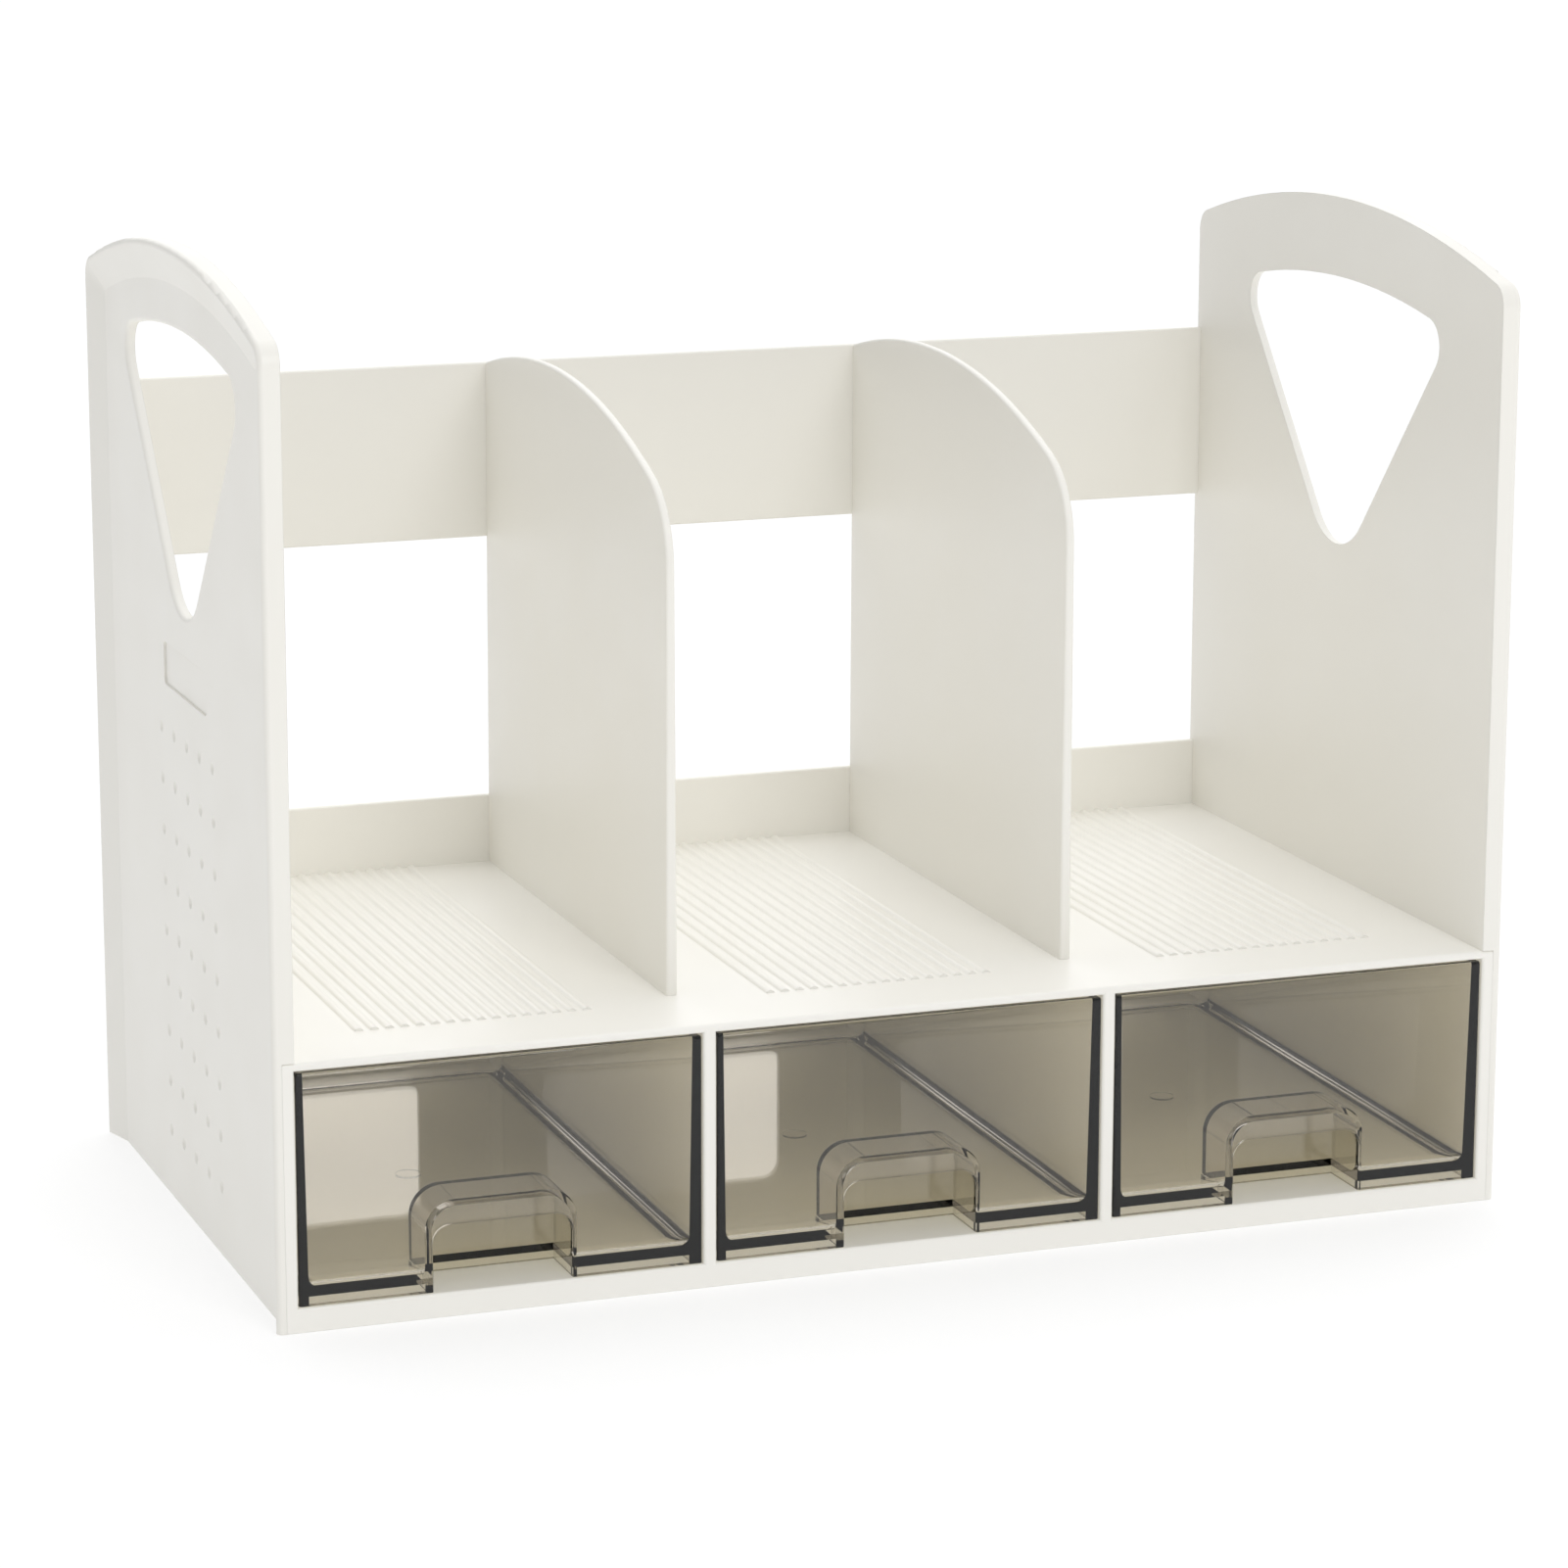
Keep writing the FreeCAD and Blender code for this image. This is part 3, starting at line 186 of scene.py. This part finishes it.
def smoke_clear(name, haze, skin_tint, passing_tint, body_tint, density):
    """Clear plastic with its colour in the body: a polished skin, faint flow ripples, absorption inside.

    Lamp light, and light that a matt surface sends out, goes straight through in the passing tint.
    """
    material, tree, output = new_material(name)
    ripples = noise(tree, (-500, -200), size_mm=45, detail=1)
    ripple_bump = node(tree, "ShaderNodeBump", (-200, -200), Strength=0.3, Distance=0.05 * MM)
    handling = noise(tree, (-500, 100), size_mm=18, detail=4)
    rough = between(tree, (-200, 100), handling, 0.0, haze)
    skin = node(tree, "ShaderNodeBsdfPrincipled", (150, 0), IOR=1.5)
    skin.inputs["Base Color"].default_value = (*skin_tint, 1)
    skin.inputs["Transmission Weight"].default_value = 1
    body = node(tree, "ShaderNodeVolumeAbsorption", (550, -350), Density=density)
    body.inputs["Color"].default_value = (*body_tint, 1)
    kind = node(tree, "ShaderNodeLightPath", (150, 400))
    through = node(tree, "ShaderNodeBsdfTransparent", (350, -150))
    through.inputs["Color"].default_value = (*passing_tint, 1)
    for_lamps = node(tree, "ShaderNodeMixShader", (600, 0))
    for_glow = node(tree, "ShaderNodeMixShader", (780, 0))
    tree.links.new(ripples, ripple_bump.inputs["Height"])
    tree.links.new(ripple_bump.outputs["Normal"], skin.inputs["Normal"])
    tree.links.new(rough, skin.inputs["Roughness"])
    tree.links.new(kind.outputs["Is Shadow Ray"], for_lamps.inputs["Fac"])
    tree.links.new(skin.outputs["BSDF"], for_lamps.inputs[1])
    tree.links.new(through.outputs["BSDF"], for_lamps.inputs[2])
    tree.links.new(kind.outputs["Is Diffuse Ray"], for_glow.inputs["Fac"])
    tree.links.new(for_lamps.outputs["Shader"], for_glow.inputs[1])
    tree.links.new(through.outputs["BSDF"], for_glow.inputs[2])
    tree.links.new(for_glow.outputs["Shader"], output.inputs["Surface"])
    tree.links.new(body.outputs["Volume"], output.inputs["Volume"])
    return material


drawer_smoke = smoke_clear(
    "smoke_clear_drawer",
    haze=0.02,
    skin_tint=(0.945, 0.92, 0.865),
    passing_tint=(1.0, 0.99, 0.94),
    body_tint=(0.15, 0.05, 0.45),
    density=4.5,
)
for name in ("drawer_left", "drawer_middle", "drawer_right"):
    finish(name, drawer_smoke)


# The organizer stands on four anti-slip pads of soft milky rubber, moulded as flat pills with a ring of nubs
# underneath and pressed into rings under the base, each turned as it happened to go in.

def pad_rubber(name):
    """Milky rubber with a fine matt bloom."""
    material, tree, output = new_material(name)
    bloom = noise(tree, (-500, 0), size_mm=3, detail=4)
    tint = blend_colours(tree, (-200, 100), bloom, (0.72, 0.71, 0.68), (0.66, 0.65, 0.62))
    rough = between(tree, (-200, -100), bloom, 0.6, 0.75)
    rubber = node(tree, "ShaderNodeBsdfPrincipled", (200, 0), IOR=1.45)
    rubber.inputs["Subsurface Weight"].default_value = 0.2
    rubber.inputs["Subsurface Radius"].default_value = (1 * MM, 1 * MM, 1 * MM)
    tree.links.new(tint, rubber.inputs["Base Color"])
    tree.links.new(rough, rubber.inputs["Roughness"])
    tree.links.new(rubber.outputs["BSDF"], output.inputs["Surface"])
    return material


def maths(tree, place, operation, first, second=None):
    """One sum, of sockets or plain numbers."""
    made = node(tree, "ShaderNodeMath", place)
    made.operation = operation
    for socket, term in zip(made.inputs, (first, second)):
        if isinstance(term, bpy.types.NodeSocket):
            tree.links.new(term, socket)
        elif term is not None:
            socket.default_value = term
    return made.outputs["Value"]


def pad_nodes(rubber):
    """The tree that makes a pad as a squared-off ball with nubs, and sets it at a rectangle's corners."""
    tree = bpy.data.node_groups.new("anti_slip_pads", "GeometryNodeTree")
    interface = tree.interface
    for name, kind in (("Pad Radius", "NodeSocketFloat"), ("Pad Height", "NodeSocketFloat"),
                       ("Squareness", "NodeSocketFloat"), ("Span Across", "NodeSocketFloat"),
                       ("Span Along", "NodeSocketFloat"), ("Nub Radius", "NodeSocketFloat"),
                       ("Nub Ring Share", "NodeSocketFloat"), ("Nub Count", "NodeSocketInt"),
                       ("Seed", "NodeSocketInt")):
        interface.new_socket(name, in_out="INPUT", socket_type=kind)
    interface.new_socket("Geometry", in_out="OUTPUT", socket_type="NodeSocketGeometry")
    sizes = node(tree, "NodeGroupInput", (-1500, 0)).outputs
    link = tree.links.new

    # A ball whose points move out to a squared-off profile
    half_height = maths(tree, (-1300, -400), "DIVIDE", sizes["Pad Height"], 2.0)
    power = maths(tree, (-1300, -550), "DIVIDE", 2.0, sizes["Squareness"])
    ball = node(tree, "GeometryNodeMeshUVSphere", (-1300, 300), Segments=48, Rings=24, Radius=1.0)
    here = node(tree, "GeometryNodeInputPosition", (-1500, -300))
    split = node(tree, "ShaderNodeSeparateXYZ", (-1300, -250))
    link(here.outputs["Position"], split.inputs["Vector"])
    across, along, up = split.outputs
    reach_squared = maths(tree, (-1100, -100), "ADD", maths(tree, (-1250, -50), "MULTIPLY", across, across),
                          maths(tree, (-1250, -150), "MULTIPLY", along, along))
    least_reach = 0.000001
    root = maths(tree, (-1050, -100), "SQRT", reach_squared)
    reach = maths(tree, (-950, -100), "MAXIMUM", root, least_reach)
    pushed = maths(tree, (-800, -100), "POWER", reach, power)
    outwards = maths(tree, (-650, -100), "MULTIPLY", maths(tree, (-700, -150), "DIVIDE", pushed, reach),
                     sizes["Pad Radius"])
    height = maths(tree, (-900, -400), "POWER", maths(tree, (-1050, -400), "ABSOLUTE", up), power)
    signed = maths(tree, (-750, -400), "MULTIPLY", height, maths(tree, (-900, -500), "SIGN", up))
    place = node(tree, "ShaderNodeCombineXYZ", (-350, -200))
    link(maths(tree, (-500, -100), "MULTIPLY", across, outwards), place.inputs["X"])
    link(maths(tree, (-500, -200), "MULTIPLY", along, outwards), place.inputs["Y"])
    link(maths(tree, (-500, -400), "MULTIPLY", maths(tree, (-600, -450), "ADD", signed, 1.0), half_height),
         place.inputs["Z"])
    pill = node(tree, "GeometryNodeSetPosition", (-150, 300))
    link(ball.outputs["Mesh"], pill.inputs["Geometry"])
    link(place.outputs["Vector"], pill.inputs["Position"])

    # Nubs in a ring, level with the underside
    ring = node(tree, "GeometryNodeMeshCircle", (-700, 600))
    ring_radius = maths(tree, (-900, 600), "MULTIPLY", sizes["Pad Radius"], sizes["Nub Ring Share"])
    link(sizes["Nub Count"], ring.inputs["Vertices"])
    link(ring_radius, ring.inputs["Radius"])
    nub = node(tree, "GeometryNodeMeshIcoSphere", (-700, 850), Subdivisions=2)
    link(sizes["Nub Radius"], nub.inputs["Radius"])
    nubs = node(tree, "GeometryNodeInstanceOnPoints", (-450, 700))
    link(ring.outputs["Mesh"], nubs.inputs["Points"])
    link(nub.outputs["Mesh"], nubs.inputs["Instance"])
    lifted = node(tree, "GeometryNodeTransform", (-250, 700))
    lift = node(tree, "ShaderNodeCombineXYZ", (-450, 500))
    link(sizes["Nub Radius"], lift.inputs["Z"])
    link(nubs.outputs["Instances"], lifted.inputs["Geometry"])
    link(lift.outputs["Vector"], lifted.inputs["Translation"])
    whole = node(tree, "GeometryNodeJoinGeometry", (0, 450))
    link(pill.outputs["Geometry"], whole.inputs["Geometry"])
    link(lifted.outputs["Geometry"], whole.inputs["Geometry"])

    # Four corners, each pad with a turn of its own
    corners = node(tree, "GeometryNodeMeshGrid", (0, 800))
    corners.inputs["Vertices X"].default_value = 2
    corners.inputs["Vertices Y"].default_value = 2
    link(sizes["Span Across"], corners.inputs["Size X"])
    link(sizes["Span Along"], corners.inputs["Size Y"])
    turn = node(tree, "FunctionNodeRandomValue", (0, 150))
    turn.data_type = "FLOAT"
    floats = [socket for socket in turn.inputs if socket.type == "VALUE"]
    floats[0].default_value = 0.0
    floats[1].default_value = 2 * math.pi
    link(sizes["Seed"], turn.inputs["Seed"])
    spin = node(tree, "ShaderNodeCombineXYZ", (180, 150))
    link(next(socket for socket in turn.outputs if socket.type == "VALUE"), spin.inputs["Z"])
    pads = node(tree, "GeometryNodeInstanceOnPoints", (350, 450))
    link(corners.outputs["Mesh"], pads.inputs["Points"])
    link(whole.outputs["Geometry"], pads.inputs["Instance"])
    link(spin.outputs["Vector"], pads.inputs["Rotation"])
    real = node(tree, "GeometryNodeRealizeInstances", (550, 450))
    link(pads.outputs["Instances"], real.inputs["Geometry"])
    coated = node(tree, "GeometryNodeSetMaterial", (750, 450))
    coated.inputs["Material"].default_value = rubber
    link(real.outputs["Geometry"], coated.inputs["Geometry"])
    link(coated.outputs["Geometry"], node(tree, "NodeGroupOutput", (950, 450)).inputs["Geometry"])
    return tree


def grown(name, tree, **settings):
    """A plain mesh object from a node tree, its inputs set by name."""
    seedling = bpy.data.objects.new(name + "_nodes", bpy.data.meshes.new(name + "_nodes"))
    bpy.context.scene.collection.objects.link(seedling)
    growing = seedling.modifiers.new("nodes", "NODES")
    growing.node_group = tree
    for item in tree.interface.items_tree:
        setting = settings.get(item.name.replace(" ", "_").lower())
        if setting is not None:
            growing[item.identifier] = setting
    depsgraph = bpy.context.evaluated_depsgraph_get()
    mesh = bpy.data.meshes.new_from_object(seedling.evaluated_get(depsgraph))
    seedling.modifiers.remove(growing)
    bpy.data.objects.remove(seedling)
    piece = bpy.data.objects.new(name, mesh)
    bpy.context.scene.collection.objects.link(piece)
    return piece


PAD_NAMES = ["anti_slip_pad_" + end for end in ("front_left", "front_right", "back_left", "back_right")]
low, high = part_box(PAD_NAMES[0])
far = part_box(PAD_NAMES[3])[1]
pad_radius = (high[0] - low[0]) / 2
anti_slip_pads = grown(
    "anti_slip_pads",
    pad_nodes(pad_rubber("pad_rubber")),
    pad_radius=pad_radius,
    pad_height=high[2] - low[2],
    squareness=5.0,
    span_across=2 * (far[0] - pad_radius),
    span_along=2 * (far[1] - pad_radius),
    nub_radius=0.45 * MM,
    nub_ring_share=0.6,
    nub_count=12,
    seed=7,
)
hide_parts(*PAD_NAMES)
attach(anti_slip_pads, "frame")


# The studio: a wide white floor that glows as a light table does, a white room that is brightest overhead,
# with a bright strip of wall behind the object, and a soft key light above the front.

FLOOR_SIDE = 40.0
PAPER_GREY = 0.4
PAPER_GLOW = 0.62
floor_mesh = bpy.data.meshes.new("floor")
half = FLOOR_SIDE / 2
floor_corners = [(-half, -half, 0), (half, -half, 0), (half, half, 0), (-half, half, 0)]
floor_mesh.from_pydata(floor_corners, [], [(0, 1, 2, 3)])
floor = bpy.data.objects.new("floor", floor_mesh)
bpy.context.scene.collection.objects.link(floor)
paper, paper_tree, paper_output = new_material("floor_paper")
paper_skin = node(paper_tree, "ShaderNodeBsdfPrincipled", (500, 0), Roughness=0.9)
paper_skin.inputs["Base Color"].default_value = (PAPER_GREY, PAPER_GREY, PAPER_GREY, 1)
paper_skin.inputs["Emission Color"].default_value = (1, 1, 1, 1)
paper_skin.inputs["Emission Strength"].default_value = PAPER_GLOW
paper_tree.links.new(paper_skin.outputs["BSDF"], paper_output.inputs["Surface"])
floor_mesh.materials.append(paper)


def across_room(tree, split, axis, place, first, last, low, high):
    """A share of light that goes from low to high as the direction's axis goes from first to last."""
    made = node(tree, "ShaderNodeMapRange", place, From_Min=first, From_Max=last, To_Min=low, To_Max=high)
    tree.links.new(split.outputs[axis], made.inputs["Value"])
    return made.outputs["Result"]


def white_room(name, horizon, zenith, front, behind, left, strip, strip_way):
    """A white world, brighter overhead than at the horizon, dimmed by side, with one bright strip."""
    world = bpy.data.worlds.new(name)
    world.use_nodes = True
    tree = world.node_tree
    way = node(tree, "ShaderNodeTexCoord", (-1100, 0))
    split = node(tree, "ShaderNodeSeparateXYZ", (-900, 0))
    tree.links.new(way.outputs["Generated"], split.inputs["Vector"])
    upness = across_room(tree, split, "Z", (-650, 200), first=0.0, last=1.0, low=horizon, high=zenith)
    depth = across_room(tree, split, "Y", (-650, -100), first=-0.6, last=0.6, low=front, high=behind)
    side = across_room(tree, split, "X", (-650, -400), first=-0.7, last=0.0, low=left, high=1.0)
    glow = maths(tree, (-400, 0), "MULTIPLY", upness, maths(tree, (-400, -250), "MULTIPLY", depth, side))
    near = node(tree, "ShaderNodeVectorMath", (-900, -650))
    near.operation = "DOT_PRODUCT"
    near.inputs[1].default_value = strip_way
    tree.links.new(way.outputs["Generated"], near.inputs[0])
    strip_glow = node(tree, "ShaderNodeMapRange", (-650, -650), From_Min=0.9, From_Max=0.96, To_Max=strip)
    tree.links.new(near.outputs["Value"], strip_glow.inputs["Value"])
    whole_glow = maths(tree, (-200, 0), "ADD", glow, strip_glow.outputs["Result"])
    tree.links.new(whole_glow, tree.nodes["Background"].inputs["Strength"])
    tree.nodes["Background"].inputs["Color"].default_value = (0.985, 0.99, 1.0, 1)
    return world


bpy.context.scene.world = white_room(
    "white_room",
    horizon=0.44,
    zenith=1.9,
    front=0.45,
    behind=1.0,
    left=0.6,
    strip=0.7,
    strip_way=(0.34, 0.92, 0.2),
)


def soft_light(name, place, aim, side, power):
    """A square soft light that shines from place towards aim."""
    lamp = bpy.data.lights.new(name, "AREA")
    lamp.size = side
    lamp.energy = power
    light = bpy.data.objects.new(name, lamp)
    light.location = place
    light.rotation_euler = (Vector(aim) - Vector(place)).to_track_quat("-Z", "Y").to_euler()
    bpy.context.scene.collection.objects.link(light)


soft_light("key", place=(0.1, -1.7, 1.2), aim=(0, 0, 0.15), side=0.8, power=9)

bpy.context.scene.view_settings.view_transform = "Standard"


# The camera stands to the left of the front and a little above, where the photograph was taken. Its place,
# aim, roll and lens were fitted to the straight edges of the panels, the shelf and the base.

CAMERA_PLACE = Vector((-0.55595, -1.52629, 0.49503))
CAMERA_AIM = Vector((-0.00085, 0.0, 0.127889))
CAMERA_ROLL = math.radians(0.089)
lens = bpy.data.cameras.new("camera")
lens.sensor_width = 36.0
lens.lens = 118.82
camera = bpy.data.objects.new("camera", lens)
look = (CAMERA_AIM - CAMERA_PLACE).to_track_quat("-Z", "Y").to_matrix().to_4x4()
camera.matrix_world = Matrix.Translation(CAMERA_PLACE) @ look @ Matrix.Rotation(CAMERA_ROLL, 4, "Z")
bpy.context.scene.collection.objects.link(camera)
bpy.context.scene.camera = camera
